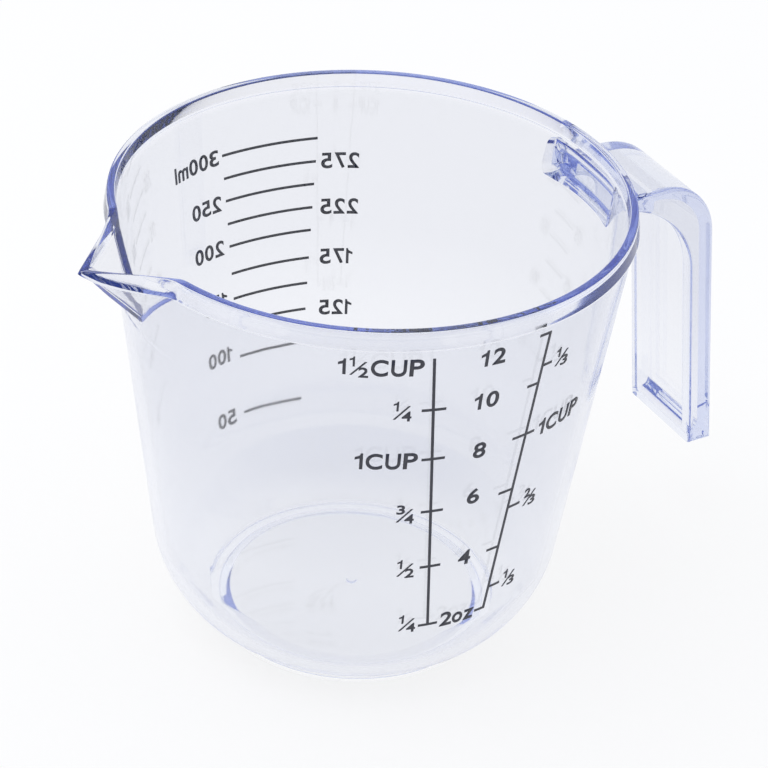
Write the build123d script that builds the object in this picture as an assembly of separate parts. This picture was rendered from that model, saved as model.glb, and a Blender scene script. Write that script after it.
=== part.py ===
from build123d import *

import os
from math import atan2, cos, radians, sin, sqrt, tan

# A clear moulded measuring cup with a V spout and a J handle, in millimetres.
# The origin is on the cup's axis at the plane it stands on. The handle points
# along +X and the spout along -X. Angles are in degrees.

# Cup body
cup_height = 85.5
wall_mouth_radius = 44.9
wall_lean = 7.16
wall_thickness = 1.7
corner_radius = 22.65
corner_centre_height = 20.94

# Floor, foot and moulding nub
floor_thickness = 1.8
foot_height = 1.8
foot_land_width = 1.7
foot_root_width = 3.8
foot_edge_radius = 0.25
nub_radius = 0.9
nub_height = 0.3

# Rim band
band_height = 3.4
band_projection = 0.6
band_draw_in = 0.5
rim_thickness = 1.5
rim_edge_radius = 0.3

# Pouring spout, with the lip's projection and inset measured from the wall's mouth radius
lip_projection = 9.55
lip_overhang = 0.6
lip_drop = 2.5
lip_start_inset = 1.9
lip_inside_lean = 16.7
spout_half_angle = 47.5
keel_lean = 42.3
spout_wall = 0.9

# J handle, with its projection measured from the wall's mouth radius
handle_projection = 26.83
handle_end_height = 20.3
handle_width = 20.2
leg_lean = 7.16
bend_radius = 12.5
web_thickness = 2.5
rib_thickness = 2.4
rib_depth = 5.1
rib_root_depth = 3.6
rib_bend_radius = 17.1
end_rib_thickness = 2.4
handle_edge_radius = 1.0

# Flared root of the handle, which stops a gap below the rim band
root_projection = 3.6
root_band_gap = 0.7
root_rise = 3.0
root_sink = 0.9
root_flare = 2.0

# Printed scales, as ink of one thickness on the wall's outside. Each share is of
# the cup's height, and each angle is turned about the cup's axis from the handle.
ink_thickness = 0.1
line_width = 0.5
cup_scale_shares = (0.242, 0.405, 0.554, 0.690, 0.814, 0.936)
cup_line_angles = (-99.5, -106.3)
cup_tick_angle = 5.4
ounce_scale_shares = (0.244, 0.408, 0.557, 0.694, 0.819, 0.939)
ounce_line_angles = (-82.5, -79.2)
ounce_tick_angles = (3.0, 3.6, 4.0, 3.7, 3.0, 2.8)
third_scale_shares = (0.299, 0.508, 0.694, 0.860)
third_tick_angles = (3.8, 4.0, 2.7, 2.8)
litre_scale_shares = (0.236, 0.375, 0.448, 0.510, 0.570, 0.635, 0.688, 0.742, 0.794, 0.847)
litre_left_angles = (97.8, 99.7)
litre_right_angles = (78.3, 73.9)

# How far a cutting block runs past what it cuts
overrun = 10.0

# Heights and radii that follow from the sizes above
band_bottom = cup_height - band_height
floor_top = foot_height + floor_thickness
lip_reach = wall_mouth_radius + lip_projection
root_reach = wall_mouth_radius + root_projection
handle_end_reach = wall_mouth_radius + handle_projection
handle_top_height = band_bottom - root_band_gap - root_rise
lean = radians(wall_lean)


def outside_radius(height):
    """The tapered wall's outside radius at a height."""
    return wall_mouth_radius - (band_bottom - height) * tan(lean)


corner_centre = Vector(outside_radius(corner_centre_height) - corner_radius / cos(lean), corner_centre_height)
wall_outward = Vector(cos(lean), -sin(lean))
cone_start = corner_centre + wall_outward * corner_radius
inner_corner_radius = corner_radius - wall_thickness
inner_mouth_radius = wall_mouth_radius - wall_thickness / cos(lean)
floor_radius = corner_centre.X + sqrt(inner_corner_radius**2 - (corner_centre_height - floor_top) ** 2)
wall_foot_height = corner_centre_height - sqrt(corner_radius**2 - (floor_radius - corner_centre.X) ** 2)


def turned(outline):
    """A solid of revolution about the cup's axis, from edges drawn as (radius, height)."""
    return revolve(Plane.XZ * make_face(outline), Axis.Z)


def across(outline, half_width):
    """A solid extruded both ways along Y, from edges drawn as (X, Z)."""
    return extrude(Plane.XZ * make_face(outline), half_width, both=True)


def arc_about(centre, radius, start, end):
    """The short arc about a centre, from the direction of one point to that of another."""
    first, last = (atan2(ray.Y, ray.X) for ray in (Vector(start) - centre, Vector(end) - centre))
    points = [centre + Vector(cos(turn), sin(turn)) * radius for turn in (first, (first + last) / 2, last)]
    return ThreePointArc(*points)


def full_cone(growth):
    """The space inside the wall's outside surface, with that surface moved outward by growth."""
    return turned(
        Polyline(
            (0, cone_start.Y),
            (cone_start.X + growth, cone_start.Y),
            (wall_mouth_radius + growth, band_bottom),
            (0, band_bottom),
            close=True,
        )
    )


def wedge(tip, tip_height, top, tilt):
    """The V of the spout as a solid: its tip lies at a reach and height, and moves out by tilt as it rises."""
    depth = wall_mouth_radius / 2
    side = depth * tan(radians(spout_half_angle))
    plan = make_face(Polyline((-tip, 0), (depth - tip, side), (depth - tip, -side), close=True))
    rise = top - tip_height
    way = Vector(-sin(radians(tilt)), 0, cos(radians(tilt)))
    return extrude(Pos(0, 0, tip_height) * plan, amount=rise / way.Z, dir=way)


# Reaches of the spout's V where its shell meets the underside of the lip.
# The shell's wall is measured square to the sloping sides of the V.
shell_tip = lip_reach - lip_overhang
side_slope = sqrt(1 + (sin(radians(spout_half_angle)) * tan(radians(keel_lean))) ** 2)
shell_inside_tip = shell_tip - spout_wall * side_slope / sin(radians(spout_half_angle))
keel_drop = (shell_tip - wall_mouth_radius) / (tan(radians(keel_lean)) - tan(lean))
spout_low = band_bottom - keel_drop - overrun


def keel_wedge(tip):
    """The tilted V below the lip, whose tip has this reach at the band's underside."""
    low_tip = tip - (band_bottom - spout_low) * tan(radians(keel_lean))
    return wedge(low_tip, spout_low, band_bottom, keel_lean)


def make_wall():
    outer = arc_about(corner_centre, corner_radius, (floor_radius, wall_foot_height), cone_start)
    inner_start = corner_centre + wall_outward * inner_corner_radius
    inner = arc_about(corner_centre, inner_corner_radius, inner_start, (floor_radius, floor_top))
    sides = Polyline(outer @ 1, (wall_mouth_radius, band_bottom), (inner_mouth_radius, band_bottom), inner @ 0)
    seam = Line(inner @ 1, outer @ 0)
    return turned([outer, sides, inner, seam]) - keel_wedge(shell_inside_tip)


def make_floor():
    return Pos(0, 0, foot_height) * extrude(Circle(floor_radius), floor_thickness)


def make_foot():
    land_inside = floor_radius - foot_land_width
    root_inside = floor_radius - foot_root_width
    edge_start = (floor_radius, foot_edge_radius)
    edge_end = (floor_radius - foot_edge_radius, 0)
    edge = RadiusArc(edge_end, edge_start, -foot_edge_radius)
    rest = Polyline(edge_start, (floor_radius, foot_height), (root_inside, foot_height), (land_inside, 0), edge_end)
    return turned([edge, rest])


def make_nub():
    nub = extrude(Circle(nub_radius), nub_height)
    rounded = fillet(nub.edges().group_by(Axis.Z)[-1], nub_height / 2)
    return Pos(0, 0, floor_top) * rounded


def make_band():
    top_radius = wall_mouth_radius + band_projection - band_draw_in
    ring = turned(
        Polyline(
            (inner_mouth_radius, band_bottom),
            (wall_mouth_radius + band_projection, band_bottom),
            (top_radius, cup_height),
            (top_radius - rim_thickness, cup_height),
            close=True,
        )
    )
    ring = fillet(ring.edges().group_by(Axis.Z)[-1], rim_edge_radius)
    mouth = turned(
        Polyline(
            (0, band_bottom),
            (inner_mouth_radius, band_bottom),
            (top_radius - rim_thickness, cup_height),
            (0, cup_height),
            close=True,
        )
    )
    lip = wedge(lip_reach, band_bottom, cup_height, 0) - mouth
    lip_start = wall_mouth_radius - lip_start_inset
    slope = Polyline(
        (-lip_start, cup_height),
        (-lip_reach, cup_height - lip_drop),
        (-lip_reach - overrun, cup_height - lip_drop),
        (-lip_reach - overrun, cup_height + overrun),
        (-lip_start, cup_height + overrun),
        close=True,
    )
    inside = wedge(shell_inside_tip, band_bottom, cup_height + overrun, lip_inside_lean)
    return ring + lip - inside - across(slope, wall_mouth_radius)


def make_spout():
    return keel_wedge(shell_tip) - keel_wedge(shell_inside_tip) - full_cone(0)


# Handle lines, drawn as (X, Z). The leg leans out towards its lower end, and
# each bend is tangent to the straight runs that it joins.
leg_turn = radians(leg_lean)
leg_outward = Vector(cos(leg_turn), sin(leg_turn))
leg_up = Vector(-sin(leg_turn), cos(leg_turn))
leg_end = Vector(handle_end_reach, handle_end_height)
handle_under = handle_top_height - web_thickness
root_under = handle_top_height - rib_root_depth


def leg_point(depth, height):
    """The point at a height on the leg's face that lies a depth inside its outer face."""
    face = leg_end - leg_outward * depth
    return face + leg_up * ((height - face.Y) / leg_up.Y)


def strap_bend(depth):
    """The bend of the strap's face that lies a depth under its outer face, from the top to the leg."""
    height = handle_top_height - bend_radius
    centre = leg_point(bend_radius, height)
    radius = bend_radius - depth
    return arc_about(centre, radius, centre + Vector(0, radius), centre + leg_outward * radius)


def free_edge_bend():
    """The ribs' free edge, from the inner face of the leg to the underside of the root."""
    start = Vector(root_reach, root_under)
    gap = leg_point(rib_depth + rib_bend_radius, handle_end_height)
    aside = (gap - start).dot(leg_outward)
    along = sqrt(rib_bend_radius**2 - aside**2)
    centre = start + leg_outward * aside - leg_up * along
    return arc_about(centre, rib_bend_radius, centre + leg_outward * rib_bend_radius, start)


def strap_outline(low_edges, low_start):
    """A closed outline from the strap's outer face and the edges of its other side."""
    bend = strap_bend(0)
    top = Line((root_reach, handle_top_height), bend @ 0)
    leg = Polyline(bend @ 1, leg_point(0, handle_end_height), low_start)
    return [top, bend, leg, *low_edges, Line(low_edges[-1] @ 1, top @ 0)]


def make_web():
    inner = strap_bend(web_thickness)
    start = leg_point(web_thickness, handle_end_height)
    low_edges = [Line(start, inner @ 1), inner, Line(inner @ 0, (root_reach, handle_under))]
    return across(strap_outline(low_edges, start), handle_width / 2 - rib_thickness)


def make_rib(side):
    bend = free_edge_bend()
    start = leg_point(rib_depth, handle_end_height)
    low_edges = [Line(start, bend @ 0), bend]
    plate = extrude(Plane.XZ * make_face(strap_outline(low_edges, start)), -rib_thickness)
    outer_face = plate.faces().sort_by(Axis.Y)[-1]
    root_end = plate.faces().sort_by(Axis.X)[0]
    rounded = [edge for edge in outer_face.edges() if not on_plane(edge, root_end)]
    plate = fillet(rounded, handle_edge_radius)
    placed = Pos(0, handle_width / 2 - rib_thickness, 0) * plate
    return placed if side > 0 else mirror(placed, Plane.XZ)


def on_plane(edge, face):
    """Whether an edge lies in the plane of a face."""
    return abs((edge.center() - face.center()).dot(face.normal_at())) < edge.length / 1000


def make_end_rib():
    top = handle_end_height + end_rib_thickness
    corners = [
        leg_point(rib_depth, handle_end_height),
        leg_point(web_thickness, handle_end_height),
        leg_point(web_thickness, top),
        leg_point(rib_depth, top),
    ]
    return across(Polyline(*corners, close=True), handle_width / 2 - rib_thickness)


def make_root():
    """The root's side view and plan, each with a concave flare at the wall, meet in one block."""
    high = handle_top_height + root_rise
    low = root_under - root_sink
    inside = inner_mouth_radius - overrun
    top_flare = TangentArc((root_reach, handle_top_height), (outside_radius(high), high), tangent=(-1, 0))
    under_flare = TangentArc((root_reach, root_under), (outside_radius(low), low), tangent=(-1, 0))
    back = Polyline(top_flare @ 1, (inside, high), (inside, low), under_flare @ 1)
    side_view = across([top_flare, back, under_flare, Line(under_flare @ 0, top_flare @ 0)], handle_width)
    half = handle_width / 2
    wide = half + root_flare
    wall_x = sqrt(outside_radius(low) ** 2 - wide**2)
    left = TangentArc((root_reach, half), (wall_x, wide), tangent=(-1, 0))
    right = TangentArc((root_reach, -half), (wall_x, -wide), tangent=(-1, 0))
    behind = Polyline(left @ 1, (inside, wide), (inside, -wide), right @ 1)
    plan = make_face([left, behind, right, Line(right @ 0, left @ 0)])
    block = Pos(0, 0, low) * extrude(plan, high - low)
    return (side_view & block) - full_cone(0)


ink_skin = full_cone(ink_thickness) - full_cone(0)


def wall_point(azimuth, height):
    turn = radians(azimuth)
    radius = outside_radius(height)
    return Vector(radius * cos(turn), radius * sin(turn), height)


def stroke(start, end, growth):
    """One printed line on the wall between two places given as azimuth and height, grown in length."""
    first = wall_point(*start)
    last = wall_point(*end)
    middle = (first + last) / 2
    turn = atan2(middle.Y, middle.X)
    outward = Vector(cos(lean) * cos(turn), cos(lean) * sin(turn), -sin(lean))
    run = last - first
    bar = Box(run.length + growth, line_width, overrun)
    return Plane(middle, x_dir=run, z_dir=outward) * bar & ink_skin


def azimuth_at(azimuths, shares, share):
    """The azimuth of a slanting scale at a height, which runs evenly from the lowest mark to the highest."""
    part = (share - shares[0]) / (shares[-1] - shares[0])
    return azimuths[0] + (azimuths[1] - azimuths[0]) * part


def scale_line(azimuths, shares):
    return stroke((azimuths[0], shares[0] * cup_height), (azimuths[1], shares[-1] * cup_height), line_width)


def tick(share, left_azimuth, right_azimuth):
    return stroke((left_azimuth, share * cup_height), (right_azimuth, share * cup_height), 0)


def make_cup_marks():
    """The cup scale's upright line, with a tick across it at each mark but the highest."""
    marks = scale_line(cup_line_angles, cup_scale_shares)
    for share in cup_scale_shares[:-1]:
        azimuth = azimuth_at(cup_line_angles, cup_scale_shares, share)
        marks += tick(share, azimuth - cup_tick_angle / 2, azimuth + cup_tick_angle / 2)
    return marks


def make_ounce_marks():
    """The ounce scale's upright line, with a tick to its left at each mark."""
    marks = scale_line(ounce_line_angles, ounce_scale_shares)
    for share, span in zip(ounce_scale_shares, ounce_tick_angles):
        azimuth = azimuth_at(ounce_line_angles, ounce_scale_shares, share)
        marks += tick(share, azimuth - span, azimuth)
    return marks


def make_third_marks(ounce_marks):
    """The thirds scale, whose ticks start at the right edge of the ounce scale's line."""
    marks = []
    for share, span in zip(third_scale_shares, third_tick_angles):
        azimuth = azimuth_at(ounce_line_angles, ounce_scale_shares, share)
        marks += (tick(share, azimuth, azimuth + span) - ounce_marks).solids()
    return Compound(marks)


def make_litre_marks():
    """The long level ticks of the millilitre scale, on the side away from the cup scale."""
    marks = []
    for share in litre_scale_shares:
        left = azimuth_at(litre_left_angles, litre_scale_shares, share)
        right = azimuth_at(litre_right_angles, litre_scale_shares, share)
        marks += tick(share, left, right).solids()
    return Compound(marks)


def main():
    ounce_marks = make_ounce_marks()
    nodes = {
        "cup_wall": make_wall(),
        "cup_floor": make_floor(),
        "foot_ring": make_foot(),
        "gate_nub": make_nub(),
        "rim_band": make_band(),
        "pouring_spout": make_spout(),
        "handle_root": make_root(),
        "handle_web": make_web(),
        "handle_left_rib": make_rib(-1),
        "handle_right_rib": make_rib(1),
        "handle_end_rib": make_end_rib(),
        "cup_marks": make_cup_marks(),
        "ounce_marks": ounce_marks,
        "third_cup_marks": make_third_marks(ounce_marks),
        "millilitre_marks": make_litre_marks(),
    }
    os.makedirs("parts", exist_ok=True)
    for name, node in nodes.items():
        export_step(node, f"parts/{name}.step")


main()
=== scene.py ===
from math import atan2, cos, degrees, hypot, pi, radians, sin, sqrt, tan

import bmesh
import bpy
from mathutils import Matrix, Vector


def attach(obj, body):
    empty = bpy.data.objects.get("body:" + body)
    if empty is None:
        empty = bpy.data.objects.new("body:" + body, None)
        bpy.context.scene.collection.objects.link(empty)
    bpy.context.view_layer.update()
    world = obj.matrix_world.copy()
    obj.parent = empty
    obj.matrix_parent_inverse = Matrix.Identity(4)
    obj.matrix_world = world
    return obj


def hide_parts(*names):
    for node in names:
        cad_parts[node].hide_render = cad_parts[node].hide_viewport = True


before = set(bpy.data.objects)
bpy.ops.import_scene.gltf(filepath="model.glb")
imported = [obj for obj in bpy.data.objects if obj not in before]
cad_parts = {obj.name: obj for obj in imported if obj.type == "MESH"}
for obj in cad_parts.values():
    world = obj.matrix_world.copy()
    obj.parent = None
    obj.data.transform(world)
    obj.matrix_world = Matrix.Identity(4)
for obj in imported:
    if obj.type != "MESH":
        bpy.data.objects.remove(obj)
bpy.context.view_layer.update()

# The cup's body: a thin tapered wall on a round corner, a flat floor, a low foot ring and a thicker
# rim band. It is clear polystyrene, moulded in one shot, so its inside and outside are one skin.
cup_height = 85.5
wall_mouth_radius = 44.92
wall_thickness = 1.72
lean_degrees = 7.16
lean = radians(lean_degrees)
corner_radius = 22.67
corner_centre = (14.385, 20.94)
floor_radius = 26.14
floor_top = 3.6
foot_height = 1.8
foot_edge = 0.25
band_bottom = 82.1
band_radius = 45.5
band_top_radius = 45.0
rim_thickness = 1.5
rim_edge = 0.35
band_edge = 0.15
nub_radius = 0.9
nub_top = 3.9
spout_foot = 68


def outside_radius(height):
    """The tapered wall's outside radius at a height, in millimetres."""
    return wall_mouth_radius - (band_bottom - height) * tan(lean)


def inside_radius(height):
    return outside_radius(height) - wall_thickness / cos(lean)


def arc(centre, radius, first, last, count):
    """Points along an arc about (radius, height), from one angle in degrees to another."""
    turns = [radians(first + (last - first) * step / count) for step in range(count + 1)]
    return [(centre[0] + radius * cos(turn), centre[1] + radius * sin(turn)) for turn in turns]


def corner_angle(height):
    """The angle at which a corner arc reaches the floor's edge at a height."""
    return degrees(atan2(height - corner_centre[1], floor_radius - corner_centre[0]))


fine_heights = [spout_foot + 0.4 * step for step in range(35)]
low_heights = [25, 35, 45, 54, 62]
outer_foot = corner_centre[1] - sqrt(corner_radius**2 - (floor_radius - corner_centre[0]) ** 2)
outline = [(0, foot_height), (11, foot_height), (20, foot_height), (22.2, foot_height), (22.5, 1.72)]
outline += [(24.3, 0.08), (24.5, 0), (floor_radius - foot_edge, 0)]
outline += arc((floor_radius - foot_edge, foot_edge), foot_edge, -60, 0, 3)
outline += arc(corner_centre, corner_radius, corner_angle(outer_foot), -lean_degrees, 26)
outline += [(outside_radius(height), height) for height in low_heights + fine_heights]
outline += [(wall_mouth_radius, band_bottom), (band_radius - band_edge, band_bottom)]
outline += arc((band_radius - band_edge, band_bottom + band_edge), band_edge, -60, 0, 3)
outline += [(band_radius - 0.16, 83.2), (band_radius - 0.32, 84.3)]
outline += arc((band_top_radius - rim_edge, cup_height - rim_edge), rim_edge, 8, 90, 5)
outline += [(band_top_radius - rim_thickness / 2, cup_height)]
outline += arc((band_top_radius - rim_thickness + rim_edge, cup_height - rim_edge), rim_edge, 90, 175, 5)
mouth_inside = inside_radius(band_bottom)
outline += [(mouth_inside + 0.21, 84.3), (mouth_inside + 0.1, 83.2), (mouth_inside, band_bottom)]
outline += [(inside_radius(height), height) for height in reversed(low_heights + fine_heights)]
outline += arc(corner_centre, corner_radius - wall_thickness, -lean_degrees, corner_angle(floor_top), 26)
outline += [(25.6, floor_top), (20, floor_top), (11, floor_top), (nub_radius + 0.3, floor_top)]
outline += [(nub_radius + 0.05, floor_top + 0.03)]
outline += arc((nub_radius - 0.15, nub_top - 0.15), 0.15, 0, 90, 3)
outline += [(0, nub_top)]

spout_sweep = 36
bm = bmesh.new()
start = radians(180 - spout_sweep / 2)
seam = [bm.verts.new((radius * cos(start), radius * sin(start), height)) for radius, height in outline]
strip = [bm.edges.new(pair) for pair in zip(seam, seam[1:])]
axis = {"cent": (0, 0, 0), "axis": (0, 0, 1), "dvec": (0, 0, 0), "use_merge": False,
        "use_normal_flip": False, "use_duplicate": False}
front = bmesh.ops.spin(bm, geom=seam + strip, angle=radians(spout_sweep), steps=180, **axis)
bmesh.ops.spin(bm, geom=front["geom_last"], angle=radians(360 - spout_sweep), steps=270, **axis)
bmesh.ops.remove_doubles(bm, verts=bm.verts, dist=0.002)

# The pouring spout: a V drawn out of the wall and the rim band opposite the handle. The lip falls
# towards its tip, and a thin shell below it leans back to a point on the wall.
spout_half_angle = radians(47.5)
keel_slope = tan(radians(42.3))
shell_tip = 53.85
shell_inside_tip = 52.38
lip_reach = 54.6
lip_start = 43.0
lip_drop = 2.5
lip_under_drop = 0.6
lip_lean = 0.45
lip_tip_rise = 0.5
tip_rise_start = 0.8
tip_rise_length = 0.2
under_fade = 5
inside_lean = 0.3
inside_lean_at_tip = 0.14
lean_centre = 0.55
lean_growth = 2.5
valley_width = 0.003
valley_width_in_band = 0.003
valley_width_in_shell = 0.008
blend = 0.35
blend_growth = 0.45
blend_below = 0.12
blend_fade = 1.2
middle_share = 0.4
side_share = 0.6


def wall_share(radius, height, in_band):
    """How far through the wall a point lies, from 0 on its inside to 1 on its outside."""
    inner, outer = inside_radius(height), outside_radius(height)
    if in_band:
        rise = (height - band_bottom) / (cup_height - band_bottom)
        inner = mouth_inside + (band_top_radius - rim_thickness - mouth_inside) * rise
        outer = band_radius + (band_top_radius - band_radius) * rise
    return min(1, max(0, (radius - inner) / (outer - inner)))


def drawn_out(point):
    """Where a point of the plain turned cup goes once the V of the spout is drawn out of it."""
    radius = hypot(point.x, point.y)
    side = atan2(point.y, -point.x)
    limit = radians(spout_sweep / 2)
    if abs(side) > limit or point.z < spout_foot:
        return point
    side = side * (middle_share + side_share * (side / limit) ** 2)
    height = point.z
    in_band = height > band_bottom + 0.01 or radius > wall_mouth_radius + 0.1
    share = wall_share(radius, height, in_band)
    outer_reach = lip_reach * sin(spout_half_angle) / sin(spout_half_angle + abs(side)) * cos(side)
    along = min(1, max(0, (outer_reach - lip_start) / (lip_reach - lip_start)))
    tip_rise = lip_tip_rise * max(0, along - tip_rise_start) / tip_rise_length
    under = share * (lip_under_drop * sin(pi * along) - tip_rise)
    valley_growth = valley_width_in_band if in_band else valley_width_in_shell
    valley = valley_width + valley_growth * (1 - share)
    turn = sqrt(side**2 + valley**2)
    fan = sin(spout_half_angle) / sin(spout_half_angle + turn)
    if in_band:
        rise = (height - band_bottom) / (cup_height - band_bottom)
        height = band_bottom - under + rise * (cup_height - lip_drop * along - band_bottom + under)
        inside = shell_inside_tip + (height - band_bottom) * (inside_lean + inside_lean_at_tip * along)
        outside = lip_reach + (band_bottom + lean_centre - height) * lip_lean * min(1, along * lean_growth)
        reach = inside + (outside - inside) * share
        soft = blend + blend_growth * share
    else:
        reach = shell_inside_tip + (shell_tip - shell_inside_tip) * share
        reach -= (band_bottom - height) * keel_slope
        height -= under * max(0, 1 - (band_bottom - height) / under_fade)
        below = min(1, (band_bottom - under - height) / blend_fade)
        soft = (blend + blend_growth * share) * (1 - below) + blend_below * below
    reach *= fan
    overlap = max(0, soft - abs(reach - radius))
    radius = max(reach, radius) + overlap**2 / (4 * soft)
    return Vector((-radius * cos(side), radius * sin(side), height))


for vert in bm.verts:
    vert.co = drawn_out(vert.co)
bmesh.ops.recalc_face_normals(bm, faces=bm.faces)


def piece_from(shape, name):
    """A linked object that holds a bmesh, which is freed."""
    mesh = bpy.data.meshes.new(name)
    shape.to_mesh(mesh)
    shape.free()
    piece = bpy.data.objects.new(name, mesh)
    bpy.context.scene.collection.objects.link(piece)
    return piece


moulding = piece_from(bm, "clear_moulding")

# The handle: a J-shaped channel of clear plastic that runs out of the wall under the rim and down.
# Its broad outer strap has a rib along each side and a cross wall at its lower end.
handle_width = 20.2
handle_top = 78.4
handle_end_height = 20.3
handle_end_reach = 71.73
bend_radius = 12.5
strap_thickness = 2.5
rib_thickness = 2.4
rib_depth = 5.1
rib_root_depth = 3.6
rib_bend_radius = 17.1
end_wall_thickness = 2.4
pocket_fillet = 2.4
pocket_start = 52.5
handle_edge = 1.0
root_reach = 48.5
flare_radius = 3.77
flare_turn = radians(78)
flare_steps = 12
root_end_steps = 3
root_end_step = 1.6
under_flare_radius = 12.35
under_flare_depth = 4.63
side_flare_radius = 11.0
side_flare_depth = 6.33
inside_cut = 0.9
leg_out = Vector((cos(lean), sin(lean)))
leg_up = Vector((-sin(lean), cos(lean)))


def leg_point(depth, height):
    """The point at a height on the leg's face that lies a depth inside its outer face."""
    face = Vector((handle_end_reach, handle_end_height)) - leg_out * depth
    return face + leg_up * ((height - face.y) / leg_up.y)


bend_centre = leg_point(bend_radius, handle_top - bend_radius)
root_under = Vector((root_reach, handle_top - rib_root_depth))
gap = leg_point(rib_depth + rib_bend_radius, handle_end_height)
aside = (gap - root_under).dot(leg_out)
rib_centre = root_under + leg_out * aside - leg_up * sqrt(rib_bend_radius**2 - aside**2)
root_way = root_under - rib_centre
rib_arc = arc(rib_centre, rib_bend_radius, lean_degrees, degrees(atan2(root_way.y, root_way.x)), 24)
strap = [(root_reach, handle_top)] + arc(bend_centre, bend_radius, 90, lean_degrees, 24)
strap += [leg_point(0, handle_end_height), leg_point(rib_depth, handle_end_height)] + rib_arc


def slab(points, first_side, last_side):
    """A solid between two sides, from a closed outline in (reach, height)."""
    shape = bmesh.new()
    face = shape.faces.new([shape.verts.new((reach, first_side, height)) for reach, height in points])
    raised = bmesh.ops.extrude_face_region(shape, geom=[face])["geom"]
    moved = [item for item in raised if isinstance(item, bmesh.types.BMVert)]
    bmesh.ops.translate(shape, verts=moved, vec=(0, last_side - first_side, 0))
    bmesh.ops.recalc_face_normals(shape, faces=shape.faces)
    return shape


bm = slab(strap, -handle_width / 2, handle_width / 2)
rounded = [edge for edge in bm.edges
           if abs(edge.verts[0].co.y - edge.verts[1].co.y) < 0.01
           and max(vert.co.x for vert in edge.verts) > root_reach + 0.01]
bmesh.ops.bevel(bm, geom=rounded, offset=handle_edge, offset_type="OFFSET", segments=5,
                profile=0.5, material=-1, affect="EDGES", clamp_overlap=True)
root = min(bm.faces, key=lambda face: (face.calc_center_median().x, -face.calc_area()))
half_width = handle_width / 2
for step in range(1, flare_steps + root_end_steps + 1):
    turn = flare_turn * step / flare_steps if step <= flare_steps else flare_turn
    reach = root_reach - flare_radius * sin(turn) - max(0, step - flare_steps) * root_end_step
    high = handle_top + flare_radius * (1 - cos(turn))
    inward = min(root_reach - reach, under_flare_depth)
    low = handle_top - rib_root_depth - under_flare_radius + sqrt(under_flare_radius**2 - inward**2)
    inward = min(root_reach - reach, side_flare_depth)
    half = handle_width / 2 + side_flare_radius - sqrt(side_flare_radius**2 - inward**2)
    grown = bmesh.ops.extrude_face_region(bm, geom=[root])["geom"]
    verts = [item for item in grown if isinstance(item, bmesh.types.BMVert)]
    faces = [item for item in grown if isinstance(item, bmesh.types.BMFace)]
    bm.faces.remove(root)
    old_high = max(vert.co.z for vert in verts)
    old_low = min(vert.co.z for vert in verts)
    old_half = max(vert.co.y for vert in verts)
    for vert in verts:
        part = (vert.co.z - old_low) / (old_high - old_low)
        vert.co = Vector((reach, vert.co.y * half / old_half, low + (high - low) * part))
    root = faces[0]
bmesh.ops.recalc_face_normals(bm, faces=bm.faces)
handle = piece_from(bm, "handle_blank")

pocket_top = handle_top - strap_thickness
inner_bend = arc(bend_centre, bend_radius - strap_thickness, 90, lean_degrees, 24)
pocket = [(pocket_start, pocket_top)] + inner_bend
pocket_bottom = handle_end_height + end_wall_thickness
for part in (0, 0.125, 0.25, 0.375, 0.5, 0.625, 0.75, 0.875, 1):
    rise = pocket_fillet * (1 - part) ** 2
    pocket += [leg_point(strap_thickness + pocket_fillet * part**2, pocket_bottom + rise)]
pocket += [leg_point(rib_depth + 6, pocket_bottom), (pocket_start, 60)]
pocket_cutter = piece_from(slab(pocket, rib_thickness - half_width, half_width - rib_thickness), "pocket")

bm = bmesh.new()
bmesh.ops.create_cone(bm, cap_ends=True, segments=256, depth=60,
                      radius1=outside_radius(50) - inside_cut, radius2=outside_radius(110) - inside_cut,
                      matrix=Matrix.Translation((0, 0, 80)))
inside_cutter = piece_from(bm, "inside")


def combine(piece, other, operation):
    """Joins another solid to a piece, or cuts it out, and removes the other one."""
    modifier = piece.modifiers.new("combine", "BOOLEAN")
    modifier.operation = operation
    modifier.solver = "EXACT"
    modifier.object = other
    graph = bpy.context.evaluated_depsgraph_get()
    shape = bpy.data.meshes.new_from_object(piece.evaluated_get(graph))
    piece.modifiers.clear()
    piece.data = shape
    bpy.data.objects.remove(other)


combine(handle, pocket_cutter, "DIFFERENCE")
combine(handle, inside_cutter, "DIFFERENCE")
combine(moulding, handle, "UNION")

# The clear plastic: transparent polystyrene with a faint blue toner, which absorbs, so that it shows deep
# blue where light runs along the rim and the edges; a painted blue glow in its volume lights it too,
# though it is no lamp. Its polished skin carries slight flow ripples and painted shade: a tint that is
# stronger high on the wall than at the floor.
millimetre = 0.001
plastic = bpy.data.materials.new("clear_plastic")
plastic.use_nodes = True
nodes, links = plastic.node_tree.nodes, plastic.node_tree.links
skin = nodes["Principled BSDF"]
skin.inputs["Roughness"].default_value = 0.0
skin.inputs["IOR"].default_value = 1.59
skin.inputs["Transmission Weight"].default_value = 1.0
depth = nodes.new("ShaderNodeVolumeAbsorption")
depth.inputs["Color"].default_value = (0.22, 0.34, 0.76, 1)
depth.inputs["Density"].default_value = 17.0
# Painted glow: a blue emission in the plastic's volume that lights it and fills its dark edges with blue,
# though it is no lamp.
painted_blue_glow = nodes.new("ShaderNodeEmission")
painted_blue_glow.inputs["Color"].default_value = (0.15, 0.30, 1.0, 1)
painted_blue_glow.inputs["Strength"].default_value = 1.1
body = nodes.new("ShaderNodeAddShader")
links.new(depth.outputs["Volume"], body.inputs[0])
links.new(painted_blue_glow.outputs["Emission"], body.inputs[1])
links.new(body.outputs[0], nodes["Material Output"].inputs["Volume"])
place = nodes.new("ShaderNodeTexCoord")
level = nodes.new("ShaderNodeSeparateXYZ")
links.new(place.outputs["Object"], level.inputs[0])
rise = nodes.new("ShaderNodeMapRange")
rise.inputs["From Max"].default_value = 0.0855
links.new(level.outputs["Z"], rise.inputs["Value"])
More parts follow.
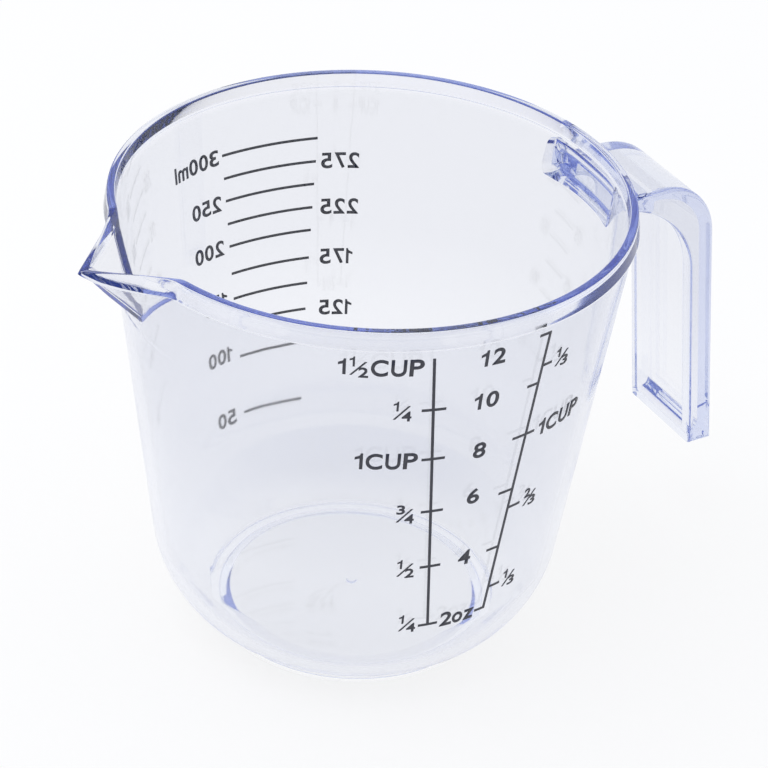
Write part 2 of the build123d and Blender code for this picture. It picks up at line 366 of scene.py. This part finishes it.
# Painted shade: the skin's tint is darker with height, most on the upper wall below the rim band, in place
# of shading that light gives the plastic.
painted_height_shade = nodes.new("ShaderNodeValToRGB")
painted_height_shade.color_ramp.elements[0].color = (0.985, 0.988, 0.995, 1)
painted_height_shade.color_ramp.elements[1].color = (0.95, 0.955, 0.975, 1)
for position, value in ((0.045, (0.985, 0.988, 0.995, 1)), (0.09, (0.93, 0.936, 0.955, 1)),
                        (0.35, (0.945, 0.95, 0.968, 1)), (0.65, (0.87, 0.877, 0.905, 1)),
                        (0.955, (0.87, 0.877, 0.905, 1)), (0.965, (0.94, 0.943, 0.968, 1))):
    painted_height_shade.color_ramp.elements.new(position).color = value
links.new(rise.outputs["Result"], painted_height_shade.inputs["Fac"])
links.new(painted_height_shade.outputs["Color"], skin.inputs["Base Color"])
flow = nodes.new("ShaderNodeTexNoise")
flow.inputs["Scale"].default_value = 55.0
flow.inputs["Detail"].default_value = 2.0
links.new(place.outputs["Object"], flow.inputs["Vector"])
ripple = nodes.new("ShaderNodeBump")
ripple.inputs["Strength"].default_value = 0.15
ripple.inputs["Distance"].default_value = 0.0002
links.new(flow.outputs["Fac"], ripple.inputs["Height"])
links.new(ripple.outputs["Normal"], skin.inputs["Normal"])
polish = nodes.new("ShaderNodeMapRange")
polish.inputs["To Min"].default_value = 0.01
polish.inputs["To Max"].default_value = 0.05
links.new(flow.outputs["Fac"], polish.inputs["Value"])
links.new(polish.outputs["Result"], skin.inputs["Roughness"])

bm = bmesh.new()
bm.from_mesh(moulding.data)
bmesh.ops.remove_doubles(bm, verts=bm.verts, dist=0.0005)
bmesh.ops.dissolve_degenerate(bm, dist=0.0005, edges=bm.edges)
bmesh.ops.scale(bm, vec=(millimetre, millimetre, millimetre), verts=bm.verts)
for face in bm.faces:
    face.smooth = True
bm.to_mesh(moulding.data)
bm.free()
moulding.data.set_sharp_from_angle(angle=radians(24))
moulding.data.materials.clear()
moulding.data.materials.append(plastic)
shading = moulding.modifiers.new("even_normals", "WEIGHTED_NORMAL")
shading.keep_sharp = True
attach(moulding, "root")
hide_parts("cup_wall", "cup_floor", "foot_ring", "gate_nub", "rim_band", "pouring_spout",
            "handle_root", "handle_web", "handle_left_rib", "handle_right_rib", "handle_end_rib")

# The cup scale's print: charcoal ink screened on the wall's outside, a slanting line with ticks and
# with its numbers to the left. The lines and ticks of every scale are the frame's own.
ink = bpy.data.materials.new("scale_ink")
ink.use_nodes = True
nodes, links = ink.node_tree.nodes, ink.node_tree.links
film = nodes["Principled BSDF"]
film.inputs["Roughness"].default_value = 0.42
place = nodes.new("ShaderNodeTexCoord")
mottle = nodes.new("ShaderNodeTexNoise")
mottle.inputs["Scale"].default_value = 900.0
links.new(place.outputs["Object"], mottle.inputs["Vector"])
tone = nodes.new("ShaderNodeValToRGB")
tone.color_ramp.elements[0].color = (0.026, 0.026, 0.034, 1)
tone.color_ramp.elements[1].color = (0.050, 0.050, 0.062, 1)
links.new(mottle.outputs["Fac"], tone.inputs["Fac"])
links.new(tone.outputs["Color"], film.inputs["Base Color"])

ink_outside = 0.08
ink_inside = -0.05
letter_height = 3.4
glyph_widths = {"C": 2.75, "U": 2.5, "P": 2.35, "1": 1.35, "o": 2.1, "z": 2.05, "m": 3.0, "l": 0.55}
glyph_heights = {"o": 2.6, "z": 2.5, "m": 2.55}
one = [(0.58, 0), (1, 0), (1, 1), (0.72, 1), (0.6, 0.86), (0, 0.74), (0, 0.6), (0.58, 0.68)]


def glyph(character):
    """A flat bold character in a bmesh, drawn one unit wide and one unit high."""
    shape = bmesh.new()
    if character == "1":
        shape.faces.new([shape.verts.new((x, y, 0)) for x, y in one])
        return shape
    curve = bpy.data.curves.new("glyph", "FONT")
    curve.body = character
    curve.size = 4.8
    curve.offset = 0.09
    letter = bpy.data.objects.new("glyph", curve)
    bpy.context.scene.collection.objects.link(letter)
    graph = bpy.context.evaluated_depsgraph_get()
    mesh = bpy.data.meshes.new_from_object(letter.evaluated_get(graph))
    shape.from_mesh(mesh)
    bpy.data.objects.remove(letter)
    bmesh.ops.remove_doubles(shape, verts=shape.verts, dist=0.001)
    lows = [min(vert.co[n] for vert in shape.verts) for n in (0, 1)]
    highs = [max(vert.co[n] for vert in shape.verts) for n in (0, 1)]
    bmesh.ops.translate(shape, verts=shape.verts, vec=(-lows[0], -lows[1], 0))
    bmesh.ops.scale(shape, verts=shape.verts, vec=(1 / (highs[0] - lows[0]), 1 / (highs[1] - lows[1]), 1))
    return shape


def add_glyph(page, character, x, y, width, height):
    """Puts a character into a page of lettering, at a place and size in millimetres."""
    shape = glyph(character)
    bmesh.ops.scale(shape, verts=shape.verts, vec=(width, height, 1))
    bmesh.ops.translate(shape, verts=shape.verts, vec=(x, y, 0))
    mesh = bpy.data.meshes.new("glyph")
    shape.to_mesh(mesh)
    shape.free()
    page.from_mesh(mesh)
    bpy.data.meshes.remove(mesh)


def add_fraction(page, top, bottom, x):
    """A small fraction 3 mm wide, centred on the page's height, with a slash between its numbers."""
    add_glyph(page, top, x, 0.15, 0.85 if top == "1" else 1.4, 2.0)
    add_glyph(page, bottom, x + 1.45, -2.05, 1.6, 2.05)
    slash = [(x + 0.05, -1.6), (x + 0.4, -1.6), (x + 2.75, 1.15), (x + 2.4, 1.15)]
    page.faces.new([page.verts.new((u, v, 0)) for u, v in slash])


def add_word(page, word, x, height, width=2.35, gap=0.45):
    """Letters in a row from x, centred on the page's height, and where the row ends."""
    for character in word:
        tall = height * glyph_heights.get(character, letter_height) / letter_height
        wide = glyph_widths.get(character, width) * height / letter_height
        add_glyph(page, character, x, -height / 2, wide, tall)
        x += wide + gap
    return x - gap


def print_on_wall(page, name, azimuth, height):
    """Wraps a page of lettering on the wall's outside as a film of ink, at an azimuth and a height."""
    width = [round(vert.co.x, 1) for vert in page.verts]
    for step in range(int(min(width)) - 1, int(max(width)) + 2):
        geometry = page.verts[:] + page.edges[:] + page.faces[:]
        bmesh.ops.bisect_plane(page, geom=geometry, dist=0.0001, plane_co=(step, 0, 0), plane_no=(1, 0, 0))
    raised = bmesh.ops.extrude_face_region(page, geom=page.faces[:])["geom"]
    for item in raised:
        if isinstance(item, bmesh.types.BMVert):
            item.co.z = 1
    local = outside_radius(height)
    for vert in page.verts:
        depth_out = ink_outside if vert.co.z > 0.5 else ink_inside
        up = height + vert.co.y * cos(lean)
        radius = outside_radius(up) + depth_out
        turn = radians(azimuth) + vert.co.x / local
        vert.co = Vector((radius * cos(turn), radius * sin(turn), up - depth_out * sin(lean))) * millimetre
    bmesh.ops.recalc_face_normals(page, faces=page.faces)
    piece = piece_from(page, name)
    piece.data.materials.append(ink)
    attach(piece, "root")


page = bmesh.new()
end = add_word(page, "1", 0, letter_height - 0.2)
add_fraction(page, "1", "2", end + 0.55)
add_word(page, "CUP", end + 3.95, letter_height)
print_on_wall(page, "label_one_and_a_half_cup", -125.9, 78.6)
for name, top, bottom, azimuth, height in (("quarter_over_one", "1", "4", -113.9, 69.57),
                                           ("three_quarters", "3", "4", -111.1, 47.1),
                                           ("half", "1", "2", -109.6, 34.6),
                                           ("quarter", "1", "4", -107.6, 21.5)):
    page = bmesh.new()
    add_fraction(page, top, bottom, 0)
    print_on_wall(page, "label_" + name, azimuth, height)
page = bmesh.new()
add_word(page, "1CUP", 0, letter_height)
print_on_wall(page, "label_one_cup", -121.5, 58.95)
for name in ("cup_marks", "ounce_marks", "third_cup_marks", "millilitre_marks"):
    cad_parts[name].data.materials.clear()
    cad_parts[name].data.materials.append(ink)

# The ounce scale's print, in the same ink: even numbers to the left of the second slanting line.
# The lowest carries the unit.
for number, azimuth, height in (("12", -96.0, 78.75), ("10", -96.0, 69.8), ("8", -94.3, 59.1),
                                ("6", -93.9, 48.95), ("4", -93.5, 34.97)):
    page = bmesh.new()
    add_word(page, number, 0, letter_height - 0.1, gap=0.85)
    print_on_wall(page, "label_" + number + "_ounces", azimuth, height)
page = bmesh.new()
end = add_word(page, "2", 0, letter_height - 0.15)
add_word(page, "oz", end + 0.1, letter_height - 0.15, gap=0.25)
print_on_wall(page, "label_2_ounces", -96.0, 21.1)

# The thirds scale's print, in the same ink, to the right of the second line.
for name, top, bottom, azimuth, height in (("third_over_one", "1", "3", -75.5, 73.6),
                                           ("two_thirds", "2", "3", -75.9, 43.6),
                                           ("third", "1", "3", -77.2, 25.6)):
    page = bmesh.new()
    add_fraction(page, top, bottom, 0)
    print_on_wall(page, "label_" + name, azimuth, height)
page = bmesh.new()
add_word(page, "1CUP", 0, letter_height, gap=0.55)
print_on_wall(page, "label_one_cup_right", -76.2, 59.3)

# The millilitre scale's print, in the same ink, on the far side of the wall: each second number
# stands at the right end of its tick as one faces it, and the rest stand at the left end.
number_height = 3.1
for number, height in (("300", 72.4), ("250", 63.4), ("200", 54.6),
                       ("150", 44.1), ("100", 33.4), ("50", 20.2)):
    page = bmesh.new()
    end = add_word(page, number, 0, number_height, gap=0.4)
    if number == "300":
        add_word(page, "ml", end + 0.4, number_height, gap=0.4)
    print_on_wall(page, "label_" + number + "_millilitres", 100.8, height)
for number, height, start in (("275", 67.9, -7.2), ("225", 58.8, -7.2),
                              ("175", 48.75, -6.3), ("125", 38.3, -6.3)):
    page = bmesh.new()
    add_word(page, number, start, number_height, gap=0.4)
    print_on_wall(page, "label_" + number + "_millilitres", 72.9, height)

# The stage: a white floor that shows plain white to the camera and in the plastic but keeps a weak
# shadow, and a white room that gets darker and bluer behind the camera.
bm = bmesh.new()
bmesh.ops.create_grid(bm, x_segments=1, y_segments=1, size=3.0)
floor = piece_from(bm, "floor")
white = bpy.data.materials.new("white_floor")
white.use_nodes = True
nodes, links = white.node_tree.nodes, white.node_tree.links
matt = nodes["Principled BSDF"]
matt.inputs["Base Color"].default_value = (0.9, 0.9, 0.9, 1)
matt.inputs["Roughness"].default_value = 0.9
glow = nodes.new("ShaderNodeEmission")
glow.inputs["Strength"].default_value = 1.0
seen = nodes.new("ShaderNodeLightPath")
either = nodes.new("ShaderNodeMath")
either.operation = "MAXIMUM"
links.new(seen.outputs["Is Camera Ray"], either.inputs[0])
links.new(seen.outputs["Is Glossy Ray"], either.inputs[1])
any_of = nodes.new("ShaderNodeMath")
any_of.operation = "MAXIMUM"
links.new(either.outputs[0], any_of.inputs[0])
links.new(seen.outputs["Is Transmission Ray"], any_of.inputs[1])
plain_share = nodes.new("ShaderNodeMath")
plain_share.operation = "MULTIPLY"
plain_share.inputs[1].default_value = 0.85
links.new(any_of.outputs[0], plain_share.inputs[0])
mix = nodes.new("ShaderNodeMixShader")
links.new(plain_share.outputs[0], mix.inputs[0])
links.new(matt.outputs[0], mix.inputs[1])
links.new(glow.outputs[0], mix.inputs[2])
links.new(mix.outputs[0], nodes["Material Output"].inputs["Surface"])
floor.data.materials.append(white)

world = bpy.data.worlds.new("studio")
bpy.context.scene.world = world
world.use_nodes = True
nodes, links = world.node_tree.nodes, world.node_tree.links
way = nodes.new("ShaderNodeTexCoord")
facing = nodes.new("ShaderNodeVectorMath")
facing.operation = "DOT_PRODUCT"
facing.inputs[1].default_value = (-0.518, -0.855, 0)
links.new(way.outputs["Generated"], facing.inputs[0])
room = nodes.new("ShaderNodeMapRange")
room.interpolation_type = "SMOOTHSTEP"
room.inputs["From Min"].default_value = -0.2
room.inputs["From Max"].default_value = 0.9
links.new(facing.outputs["Value"], room.inputs["Value"])
walls = nodes.new("ShaderNodeValToRGB")
walls.color_ramp.elements[0].color = (0.97, 0.98, 1.0, 1)
walls.color_ramp.elements[1].color = (0.26, 0.34, 0.60, 1)
links.new(room.outputs["Result"], walls.inputs["Fac"])
links.new(walls.outputs["Color"], nodes["Background"].inputs["Color"])

key = bpy.data.lights.new("key", "AREA")
key.shape = "RECTANGLE"
key.size = 1.0
key.size_y = 0.8
key.energy = 5.0
key_lamp = bpy.data.objects.new("key", key)
bpy.context.scene.collection.objects.link(key_lamp)
key_lamp.visible_glossy = False
key_lamp.visible_transmission = False
lamp_place = Vector((-0.5, 0.1, 1.0))
lamp_turn = Vector((-0.5, 0.1, 0.95)).to_track_quat("Z", "Y")
key_lamp.matrix_world = Matrix.LocRotScale(lamp_place, lamp_turn, None)

# The camera, on the photograph's line of sight.
turn, pitch, roll = radians(-31.2), radians(33.245), radians(3.541)
back = Vector((sin(turn) * cos(pitch), -cos(turn) * cos(pitch), sin(pitch)))
right = Vector((cos(turn), sin(turn), 0))
up = back.cross(right)
rolled_right = right * cos(roll) + up * sin(roll)
rolled_up = up * cos(roll) - right * sin(roll)
target = right * 3.779 + Vector((0, 0, 46.605))
eye = (target + back * 494.923) * millimetre
camera = bpy.data.objects.new("camera", bpy.data.cameras.new("camera"))
bpy.context.scene.collection.objects.link(camera)
camera.matrix_world = Matrix((
    (rolled_right.x, rolled_up.x, back.x, eye.x),
    (rolled_right.y, rolled_up.y, back.y, eye.y),
    (rolled_right.z, rolled_up.z, back.z, eye.z),
    (0, 0, 0, 1)))
camera.data.sensor_width = 36
camera.data.lens = 2800 / 768 * camera.data.sensor_width
camera.data.clip_start = 0.01
bpy.context.scene.camera = camera
bpy.context.scene.view_settings.view_transform = "Standard"
bpy.context.scene.cycles.max_bounces = 96
bpy.context.scene.cycles.glossy_bounces = 96
bpy.context.scene.cycles.transmission_bounces = 96
